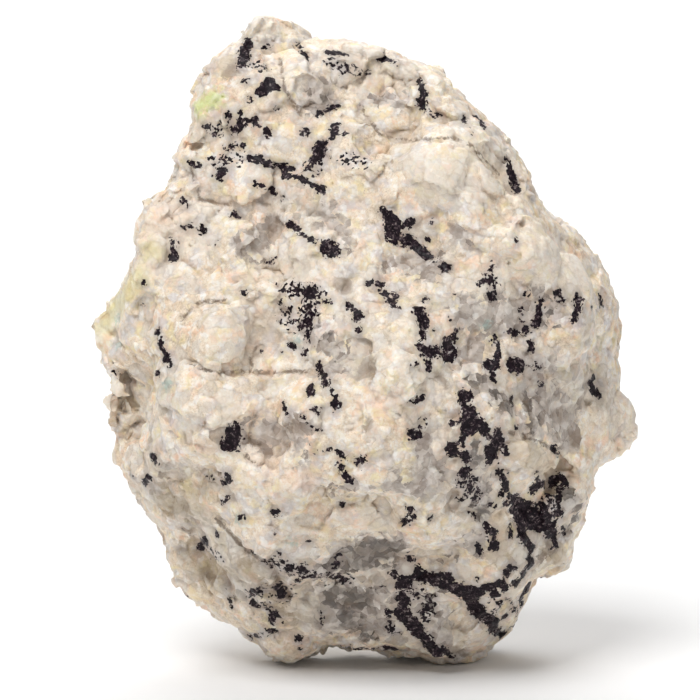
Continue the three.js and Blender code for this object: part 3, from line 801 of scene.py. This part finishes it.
# Brown spots and tints of the stone, and on the lower right and bottom edges a few marks of painted
# shade where the faces turn away from the light.
BROWN_AND_SHADE = [
    (17, (576, 440)), (10, (559, 438)), (10, (450, 648), (466, 655)), (16, (230, 72)),
    (12, (548, 550), (538, 562)), (14, (275, 584), (284, 598)), (12, (266, 606), (284, 612)),
    (12, (340, 282), (345, 286)), (10, (370, 358), (372, 378)), (7, (368, 420), (368, 428)),
    (14, (292, 422), (300, 430)), (8, (284, 443), (290, 447)), (12, (205, 570), (212, 582)),
    (7, (183, 528), (190, 531)), (8, (436, 373), (446, 382)), (9, (358, 462)),
]

# %% Put the marks on the stone
seen = {
    "black": BLACK,
    "speckle": SPECKLED,
    "quartz": QUARTZ,
    "dark_quartz": DARK_QUARTZ,
    "peach": PEACH,
    "lime": LIME,
    "yellow": YELLOW,
    "turquoise": TURQUOISE,
    "olive": OLIVE,
    "greyed": GREYED_AND_SHADED,
    "pale": PALE_AND_LIT,
    "beige": BEIGE,
    "brown": BROWN_AND_SHADE,
    "crease": CREASES,
}
skin = search_tree(stone.data)
marks = {kind: [laid_on_stone(m) for m in table] for kind, table in seen.items()}
print("marks:", {kind: len(table) for kind, table in marks.items()})

# %% [markdown]
# The photograph shows one side. The others get marks of the same kinds and sizes, each a short
# seeded walk over the skin. Black ones come in groups that run one way, as they do in front.

# %% Marks on the sides that the photograph doesn't show
WALK_STEP = 1.3 * MM
LOOK_STEP = 6  # pixels between the rays that find what the photograph sees
UNSEEN_GAP = 3.4 * MM  # how far from everything seen a seeded mark stays
HIDDEN_STRIDE = 20  # one in so many of the mesh's points is a place where marks may start
FOOT_CLEAR = 1 * MM  # marks stay this far above the ground
WANDER = 0.5  # how much a mark turns from step to step
WAYS_APART = 0.7  # how much the marks of one group differ in direction
HIDDEN_MARKS = [  # kind, groups, marks in each, spread in mm, least and most width in mm, steps
    ("black", 30, 7, 8, (0.35, 1.5), (1, 5)),
    ("black", 5, 2, 5, (1.6, 2.6), (2, 6)),
    ("speckle", 14, 2, 6, (1.4, 2.8), (1, 6)),
    ("quartz", 34, 1, 1, (2.5, 6.0), (1, 5)),
    ("dark_quartz", 14, 1, 1, (2.0, 4.0), (1, 4)),
    ("peach", 16, 1, 1, (3.5, 5.5), (1, 5)),
    ("yellow", 4, 1, 1, (2.0, 3.5), (1, 4)),
    ("olive", 14, 1, 1, (2.0, 4.0), (2, 6)),
    ("greyed", 12, 1, 1, (4.0, 9.0), (2, 6)),
    ("pale", 20, 1, 1, (3.0, 7.0), (1, 5)),
    ("beige", 10, 1, 1, (2.5, 5.0), (1, 4)),
    ("brown", 8, 1, 1, (1.6, 2.8), (1, 3)),
    ("turquoise", 6, 1, 1, (0.9, 1.4), (1, 2)),
]

seen_points = []
for x in range(0, PHOTO_SIDE, LOOK_STEP):
    for y in range(0, PHOTO_SIDE, LOOK_STEP):
        hit = stone_hit(x, y)
        if hit is not None:
            seen_points.append(hit)
seen_tree = KDTree(len(seen_points))
for index, point in enumerate(seen_points):
    seen_tree.insert(point, index)
seen_tree.balance()


def unseen(point):
    """Whether a point of the stone lies well away from everything the photograph shows."""
    return point.z > FOOT_CLEAR and seen_tree.find(point)[2] > UNSEEN_GAP


def walk(start, heading, steps, rng):
    """A wandering path over the skin, from a start point."""
    path = [start]
    for _ in range(steps):
        ahead = path[-1] + heading * WALK_STEP
        point, normal = skin.find_nearest(ahead)[:2]
        heading = point - path[-1] + random_direction(rng) * WALK_STEP * WANDER
        heading = (heading - normal * heading.dot(normal)).normalized()
        if not unseen(point):
            break
        path.append(point)
    return path


points = skin_points(stone)
normals = skin_normals(stone)
hidden = [point for point in map(Vector, points[::HIDDEN_STRIDE]) if unseen(point)]


def hidden_marks(groups, each, spread, widths, steps, rng):
    """Groups of marks on the unseen sides, each group's marks running about one way."""
    least, most = [width * MM for width in widths]
    made = []
    for place in rng.choice(len(hidden), groups):
        heading = random_direction(rng)
        for _ in range(each):
            near = hidden[place] + random_direction(rng) * (spread * MM) * math.sqrt(rng.random())
            start = skin.find_nearest(near)[0]
            if not unseen(start):
                continue
            width = least * (most / least) ** rng.random()
            along = (heading + random_direction(rng) * WAYS_APART).normalized()
            made.append((width / 2, walk(start, along, rng.integers(*steps), rng)))
    return made


rng = np.random.default_rng(31)
for kind, *about in HIDDEN_MARKS:
    marks[kind] += hidden_marks(*about, rng)
print("marks with the unseen sides:", {kind: len(table) for kind, table in marks.items()})

# %% Distances from the marks, kept on the mesh


def keep(obj, name, values):
    """Stores one number for each point of the mesh."""
    attribute = obj.data.attributes.new(name, "FLOAT", "POINT")
    attribute.data.foreach_set("value", values.astype(np.float32))


for kind, table in marks.items():
    keep(stone, kind, distance_to(points, table) / MM)

# %% Hollows and crests, kept on the mesh
HOLLOW_STEPS = 5
WIDE_HOLLOW_STEPS = 40


def neighbour_mean(values, edges):
    """Each point's mean over the points it shares an edge with."""
    here = np.concatenate([edges[:, 0], edges[:, 1]])
    there = np.concatenate([edges[:, 1], edges[:, 0]])
    count = np.maximum(np.bincount(here, minlength=len(values)), 1)
    columns = [np.bincount(here, v[there], minlength=len(values)) / count for v in values.T]
    return np.stack(columns, axis=1)


edges = np.empty(len(stone.data.edges) * 2, np.int64)
stone.data.edges.foreach_get("vertices", edges)
edges = edges.reshape(-1, 2)
smoothed = points
for step in range(1, WIDE_HOLLOW_STEPS + 1):
    smoothed = neighbour_mean(smoothed, edges)
    if step in (HOLLOW_STEPS, WIDE_HOLLOW_STEPS):
        hollow = ((smoothed - points) * normals).sum(1)
        keep(stone, "hollow" if step == HOLLOW_STEPS else "wide_hollow", hollow / hollow.std())
        print("hollow, mm:", np.percentile(hollow / MM, [2, 25, 50, 75, 98]).round(3))

# %% Tones of the grains, kept on the mesh
TONE_WAVES = (4 * MM, 0.9 * MM)
bent = wavy(points, *TONE_WAVES)
large_tones = Grains(bent, LARGE_GRAIN, 41)
middle_tones = Grains(bent, MIDDLE_GRAIN, 42)
keep(stone, "large_tone", large_tones.random())
keep(stone, "grain_border", middle_tones.border / MM)
print("attributes:", [a.name for a in stone.data.attributes if not a.name.startswith(".")])

# %% [markdown]
# ## The stone's material
#
# One material holds all the minerals. Every mark's distance has a random number added for each small
# cell of the surface, so that at its edge some cells are in and some are out: that is how a
# grain boundary looks. Then each mineral gets its colour, its gloss and its own fine roughness.

# %% Start the material
material = bpy.data.materials.new("pegmatite")
material.use_nodes = True
tree = material.node_tree
tree.nodes.clear()

# %% Helpers for its nodes


def add_node(kind, inputs=(), **settings):
    """Adds a node. Each input is a number, a colour or another node's output."""
    node = tree.nodes.new(kind)
    for name, value in settings.items():
        setattr(node, name, value)
    for name, value in dict(inputs).items():
        if isinstance(value, bpy.types.NodeSocket):
            tree.links.new(value, node.inputs[name])
        else:
            node.inputs[name].default_value = value
    return node


def calculate(operation, first, second=0.0, third=0.0):
    """A Math node's result."""
    inputs = {0: first, 1: second, 2: third}
    return add_node("ShaderNodeMath", inputs, operation=operation).outputs[0]


def pushed(value, *pushes):
    """A value with shares of others added to it. Each push is (the other value, its share)."""
    for other, share in pushes:
        value = calculate("MULTIPLY_ADD", other, share, value)
    return value


def vector_math(operation, inputs):
    """A Vector Math node's result."""
    node = add_node("ShaderNodeVectorMath", inputs, operation=operation)
    return node.outputs["Value" if operation == "DOT_PRODUCT" else "Vector"]


def eased(value, start, end):
    """0 before start, 1 after end, and smooth between."""
    inputs = {"Value": value, "From Min": start, "From Max": end}
    node = add_node("ShaderNodeMapRange", inputs, interpolation_type="SMOOTHSTEP")
    return node.outputs["Result"]


def kept(name):
    """A number stored on the mesh."""
    return add_node("ShaderNodeAttribute", attribute_name=name).outputs["Fac"]


def cells(place, size, **settings):
    """Random cells about a size in millimetres across: the Voronoi node."""
    inputs = {"Vector": place, "Scale": 1 / size}
    return add_node("ShaderNodeTexVoronoi", inputs, **settings)


def random_of(voronoi, channel=0):
    """One of a cell's random numbers, from -0.5 to 0.5."""
    parts = add_node("ShaderNodeSeparateColor", {0: voronoi.outputs["Color"]})
    return calculate("SUBTRACT", parts.outputs[channel], 0.5)


def noise(place, size, detail=3.0):
    """A soft random pattern about a size in millimetres across: the Noise node."""
    inputs = {"Vector": place, "Scale": 1 / size, "Detail": detail}
    return add_node("ShaderNodeTexNoise", inputs)


def cloud(place, size, detail):
    """The same pattern as a number from 0 to 1."""
    return noise(place, size, detail).outputs["Fac"]


# %% Helpers for colours


def linear(screen):
    """A colour from its values on a screen, 0 to 255."""
    shares = [value / 255 for value in screen]
    return (*[v / 12.92 if v <= 0.04045 else ((v + 0.055) / 1.055) ** 2.4 for v in shares], 1.0)


def stepped_colours(value, stops):
    """A colour ramp with (place, colour) stops."""
    node = add_node("ShaderNodeValToRGB", {0: value})
    ramp = node.color_ramp
    while len(ramp.elements) < len(stops):
        ramp.elements.new(0.5)
    for element, (position, screen) in zip(ramp.elements, stops):
        element.position = position
        element.color = linear(screen)
    return node.outputs["Color"]


def mixed(share, first, second):
    """A mix of two colours."""
    return add_node("ShaderNodeMix", {0: share, 6: first, 7: second}, data_type="RGBA").outputs[2]


def stained(surface, where, share, screen):
    """The surface with a share of one colour laid over it."""
    return mixed(calculate("MULTIPLY", where, share), surface, linear(screen))


# %% Cells of the stone, from grains to flakes
PLACE_WAVES = ((1.1, 0.8), (0.3, 0.18))  # size and push, mm: they make the cells' borders ragged
GRAIN_SIZE = 2.7  # mm, as the sizes below
CHIP_SIZE = 1.2
CRUMB_SIZE = 0.45
FLAKE_SIZE = 0.42

place_m = add_node("ShaderNodeTexCoord").outputs["Object"]
place = vector_math("SCALE", {0: place_m, "Scale": 1 / MM})
ragged = place
for size, push in PLACE_WAVES:
    shift = noise(place, size).outputs["Color"]
    ragged = vector_math("MULTIPLY_ADD", {0: shift, 1: (push, push, push), 2: ragged})
grain_cells = cells(ragged, GRAIN_SIZE)
chip_cells = cells(ragged, CHIP_SIZE)
flake_cells = cells(place, FLAKE_SIZE)
grain = random_of(grain_cells)
chip = random_of(chip_cells)
crumb = random_of(cells(ragged, CRUMB_SIZE))
flake = random_of(flake_cells)

# %% Where each mineral shows
MARK_EDGES = {  # in mm: the push of grains, chips and crumbs, then where it is full, where it ends
    "quartz": (2.6, 1.6, 0.6, -0.7, 0.7),
    "dark_quartz": (2.0, 1.6, 0.6, -0.9, 0.6),
    "peach": (2.0, 1.2, 0.6, -2.5, 1.5),
    "lime": (0, 0.7, 1.0, -1.4, 1.0),
    "yellow": (1.0, 1.2, 0.8, -1.2, 1.6),
    "turquoise": (0, 0.6, 0.8, -0.4, 0.7),
    "olive": (1.0, 1.5, 1.0, -1.5, 1.8),
    "greyed": (3.0, 1.5, 0.6, -2.0, 2.0),
    "crease": (0, 0.2, 0.3, -0.1, 0.3),
    "pale": (3.0, 2.0, 1.0, -2.0, 2.0),
    "beige": (0.8, 0.6, 0.4, -0.5, 0.5),
    "brown": (0.5, 0.5, 0.3, -0.4, 0.4),
}
shown = {}
for kind, (by_grain, by_chip, by_crumb, full, end) in MARK_EDGES.items():
    edge = pushed(kept(kind), (grain, by_grain), (chip, by_chip), (crumb, by_crumb))
    shown[kind] = eased(edge, end, full)

uneven = calculate("SUBTRACT", cloud(place, 2.5, 2.0), 0.5)
black_gap = pushed(kept("black"), (uneven, 1.2))
black_mark = eased(pushed(black_gap, (chip, 0.5), (flake, 0.34)), 0.12, 0.02)
satellite_mark = eased(pushed(random_of(flake_cells, 1), (black_gap, -0.3)), 0.31, 0.35)
speck_gap = pushed(kept("speckle"), (uneven, 2.4))
speck_mark = eased(pushed(speck_gap, (flake, 2.4), (chip, 1.0)), -0.65, -0.8)

# %% Feldspar
FELDSPAR = [
    (0.0, (166, 146, 124)),
    (0.25, (205, 186, 161)),
    (0.5, (231, 213, 190)),
    (0.75, (244, 230, 209)),
    (1.0, (246, 240, 230)),
]
TONE_START = -0.71  # brings the sum of the patterns into the ramp
TINTS = [  # an offset that makes its pattern its own, the pattern's size in mm, the colour
    (11.0, 3.5, (243, 201, 170)),
    (23.0, 2.4, (240, 224, 172)),
    (37.0, 3.0, (206, 201, 204)),
    (51.0, 1.4, (252, 249, 244)),
]
MOSAIC = [(0.2, (150, 140, 130)), (0.45, (196, 187, 173)), (0.8, (222, 215, 203))]

mottle = pushed(cloud(place, 0.9, 6.0), (cloud(place, 0.28, 2.0), 1.6), (cloud(place, 0.12, 1.0), 0.9))
tone = pushed(TONE_START, (kept("large_tone"), 0.34), (grain, 0.22), (chip, 0.12), (crumb, 0.08))
surface = stepped_colours(pushed(tone, (mottle, 0.7)), FELDSPAR)
for offset, size, tint in TINTS:
    apart = vector_math("ADD", {0: ragged, 1: (offset, offset, offset)})
    spread = pushed(cloud(apart, size, 4.0), (chip, 0.12))
    surface = stained(surface, eased(spread, 0.5, 0.66), 0.65, tint)
warm_chips = eased(random_of(chip_cells, 1), 0.2, 0.3)
surface = stained(surface, warm_chips, 0.3, (236, 206, 172))
cool_grains = eased(random_of(grain_cells, 1), 0.2, 0.26)
surface = stained(surface, cool_grains, 0.4, (206, 200, 193))
surface = stained(surface, shown["peach"], 0.4, (240, 205, 178))
# The greyed zones lay a grey mosaic over the feldspar: greyer grains, and painted shade on the faces
# turned away from the light.
mosaic = calculate("ADD", pushed(random_of(grain_cells, 2), (chip, 0.4)), 0.5)
greyed_and_shaded_share = calculate("MULTIPLY", shown["greyed"], 0.6)
surface = mixed(greyed_and_shaded_share, surface, stepped_colours(mosaic, MOSAIC))
# Painted light: the pale zones lighten the rims that face the light and the lower edges, partly paler
# grains.
surface = stained(surface, shown["pale"], 0.5, (240, 229, 213))
surface = stained(surface, shown["beige"], 0.6, (203, 186, 160))
surface = stained(surface, eased(speck_gap, 0.8, -0.4), 0.4, (190, 183, 185))

# %% Dark lines between the grains
LINES = ((GRAIN_SIZE, 0.3, 0.22), (CHIP_SIZE, 0.16, 0.12))  # size of cells and width in mm, share

for size, width, share in LINES:
    gap = cells(ragged, size, feature="DISTANCE_TO_EDGE").outputs["Distance"]
    here = eased(cloud(place, size * 2, 2.0), 0.45, 0.6)
    line = calculate("MULTIPLY", eased(gap, width / size, 0.0), here)
    surface = stained(surface, line, share, (128, 100, 78))

# %% Quartz
CLEAR_QUARTZ = [
    (0.2, (146, 134, 126)),
    (0.45, (182, 171, 162)),
    (0.65, (203, 194, 186)),
    (0.9, (226, 220, 213)),
]
SMOKY_QUARTZ = [(0.2, (74, 66, 62)), (0.5, (106, 97, 91)), (0.8, (146, 137, 129))]

quartz_tone = pushed(cloud(ragged, 1.5, 4.0), (chip, 0.5), (grain, 0.3))
clear = stepped_colours(quartz_tone, CLEAR_QUARTZ)
smoky = stepped_colours(quartz_tone, SMOKY_QUARTZ)
quartz_share = calculate("MAXIMUM", shown["quartz"], shown["dark_quartz"])
quartz_cover = calculate("MULTIPLY", quartz_share, 0.88)
surface = mixed(quartz_cover, surface, mixed(shown["dark_quartz"], clear, smoky))

# %% Stains, painted shade with some dirt in the hollows and creases, and painted highlight on the crests
STAINS = [
    # Brown: brown stains, and painted shade at a few lower-right edges.
    ("brown", 0.7, (146, 128, 112)),
    ("lime", 0.65, (206, 222, 132)),
    ("yellow", 0.45, (216, 208, 140)),
    ("turquoise", 0.5, (150, 186, 180)),
    ("olive", 0.4, (150, 132, 98)),
    # The deep creases get dark brown: painted shade in the grooves, with some dirt.
    ("crease", 0.8, (104, 84, 66)),
]
for kind, share, screen in STAINS:
    surface = stained(surface, shown[kind], share, screen)
surface = stained(surface, eased(kept("grain_border"), 0.35, 0.0), 0.15, (150, 122, 96))
# Painted shade with some dirt: the hollows, narrow and wide, are darkened towards brown.
hollow = pushed(kept("hollow"), (crumb, 0.8))
surface = stained(surface, eased(hollow, 0.4, 2.6), 0.34, (142, 118, 96))
wide_hollow = pushed(kept("wide_hollow"), (chip, 0.8))
surface = stained(surface, eased(wide_hollow, 0.3, 2.4), 0.3, (160, 136, 112))
# Painted highlight: the crests are lightened towards white.
surface = stained(surface, eased(hollow, -0.4, -2.6), 0.3, (246, 238, 226))

# %% Black mineral, and the grey haze round it
# The black ramp's lightest greys are partly painted glints and partly light grains inside the black
# flakes.
BLACK_MINERAL_AND_GLINTS = [
    (0.4, (20, 11, 18)),
    (0.58, (38, 25, 33)),
    (0.68, (68, 56, 60)),
    (0.82, (140, 128, 125)),
]
surface = stained(surface, eased(black_gap, 1.4, 0.1), 0.4, (146, 134, 127))
black_share = calculate("MAXIMUM", black_mark, speck_mark)
black_share = calculate("MAXIMUM", black_share, satellite_mark)
black_tone = pushed(cloud(place, 0.35, 3.0), (crumb, 0.35), (chip, 0.15))
surface = mixed(black_share, surface, stepped_colours(black_tone, BLACK_MINERAL_AND_GLINTS))

# %% Gloss and fine roughness
FACET_SIZE = 0.8  # mm
BUMP_HEIGHT = 0.2 * MM

facets = cells(ragged, FACET_SIZE)
in_facets = vector_math("SCALE", {0: ragged, "Scale": 1 / FACET_SIZE})
facet_offset = vector_math("SUBTRACT", {0: in_facets, 1: facets.outputs["Position"]})
facet_slope = vector_math("SUBTRACT", {0: facets.outputs["Color"], 1: (0.5, 0.5, 0.5)})
facet_height = vector_math("DOT_PRODUCT", {0: facet_offset, 1: facet_slope})
height = pushed(facet_height, (cloud(place, 0.4, 6.0), 0.8))
bump = add_node("ShaderNodeBump", {"Height": height, "Strength": 0.8, "Distance": BUMP_HEIGHT})
skin_shader = add_node(
    "ShaderNodeBsdfPrincipled",
    {
        "Base Color": surface,
        "Roughness": pushed(0.55, (chip, 0.3), (quartz_share, -0.22), (black_share, -0.12)),
        "IOR": 1.5,
        "Normal": bump.outputs[0],
        "Specular IOR Level": pushed(0.5, (black_share, -0.35)),
        "Subsurface Weight": pushed(0.25, (black_share, -0.25)),
        "Subsurface Radius": (1.0, 0.75, 0.55),
        "Subsurface Scale": 0.6 * MM,
    },
)
add_node("ShaderNodeOutputMaterial", {"Surface": skin_shader.outputs["BSDF"]})
stone.data.materials.clear()
stone.data.materials.append(material)
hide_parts(NODE)
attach(stone, "root")
print("nodes in the material:", len(tree.nodes))

# %% [markdown]
# ## Floor and light
#
# The stone stands on a pale sheet that curves up behind it. One large soft light from high up at the
# left in front gives the lit and shaded faces. A weak one from the right and a white surround fill
# the shade, and another lights the sheet behind.

# %% Floor
FLOOR_FRONT = -2.5
FLOOR_BACK = 1.2
FLOOR_HALF = 3.0
BEND = 0.8
BEND_STEPS = 16
FLOOR_RISE = 2.5
PAPER_TONE = 0.9

bm = bmesh.new()
start = [bm.verts.new((x, FLOOR_FRONT, 0)) for x in (-FLOOR_HALF, FLOOR_HALF)]
line = [bm.edges.new(start)]
run = bmesh.ops.extrude_edge_only(bm, edges=line)["geom"]
moved = [v for v in run if isinstance(v, bmesh.types.BMVert)]
bmesh.ops.translate(bm, verts=moved, vec=(0, FLOOR_BACK - FLOOR_FRONT, 0))
edge = [e for e in run if isinstance(e, bmesh.types.BMEdge) and all(v in moved for v in e.verts)]
bent_sheet = bmesh.ops.spin(
    bm,
    geom=edge + moved,
    cent=(0, FLOOR_BACK, BEND),
    axis=(1, 0, 0),
    angle=math.radians(90),
    steps=BEND_STEPS,
)["geom_last"]
rising = [g for g in bent_sheet if isinstance(g, bmesh.types.BMEdge)]
top = bmesh.ops.extrude_edge_only(bm, edges=rising)["geom"]
raised = [v for v in top if isinstance(v, bmesh.types.BMVert)]
bmesh.ops.translate(bm, verts=raised, vec=(0, 0, FLOOR_RISE))
bmesh.ops.recalc_face_normals(bm, faces=bm.faces[:])
floor_mesh = bpy.data.meshes.new("floor")
bm.to_mesh(floor_mesh)
bm.free()
for polygon in floor_mesh.polygons:
    polygon.use_smooth = True
floor = bpy.data.objects.new("floor", floor_mesh)
bpy.context.scene.collection.objects.link(floor)

paper = bpy.data.materials.new("paper")
paper.use_nodes = True
paper_shader = paper.node_tree.nodes["Principled BSDF"]
paper_shader.inputs["Base Color"].default_value = (PAPER_TONE, PAPER_TONE, PAPER_TONE, 1)
paper_shader.inputs["Roughness"].default_value = 0.9
floor_mesh.materials.append(paper)

# %% Light
SURROUND = 0.26  # strength of the white all round
STONE_MIDDLE = (0, 0, 0.05)
LIGHTS = [  # name, place, size, power, and what it is aimed at
    ("key", (-0.4, -0.75, 1.45), 0.9, 21.3, STONE_MIDDLE),
    ("fill", (0.9, -1.2, 0.6), 1.0, 1, STONE_MIDDLE),
    ("sheet", (0, 0.9, 1.3), 1.2, 14, (0, 0.8, 0)),
]
bpy.context.scene.view_settings.view_transform = "Standard"
world = bpy.data.worlds.new("studio")
bpy.context.scene.world = world
world.use_nodes = True
background = world.node_tree.nodes["Background"]
background.inputs["Color"].default_value = (1, 1, 1, 1)
background.inputs["Strength"].default_value = SURROUND
for name, spot, size, power, aim in LIGHTS:
    data = bpy.data.lights.new(name, "AREA")
    data.size = size
    data.energy = power
    lamp = bpy.data.objects.new(name, data)
    lamp.location = spot
    lamp.rotation_euler = (Vector(aim) - Vector(spot)).to_track_quat("-Z", "Y").to_euler()
    bpy.context.scene.collection.objects.link(lamp)
print("lights:", [light[0] for light in LIGHTS])
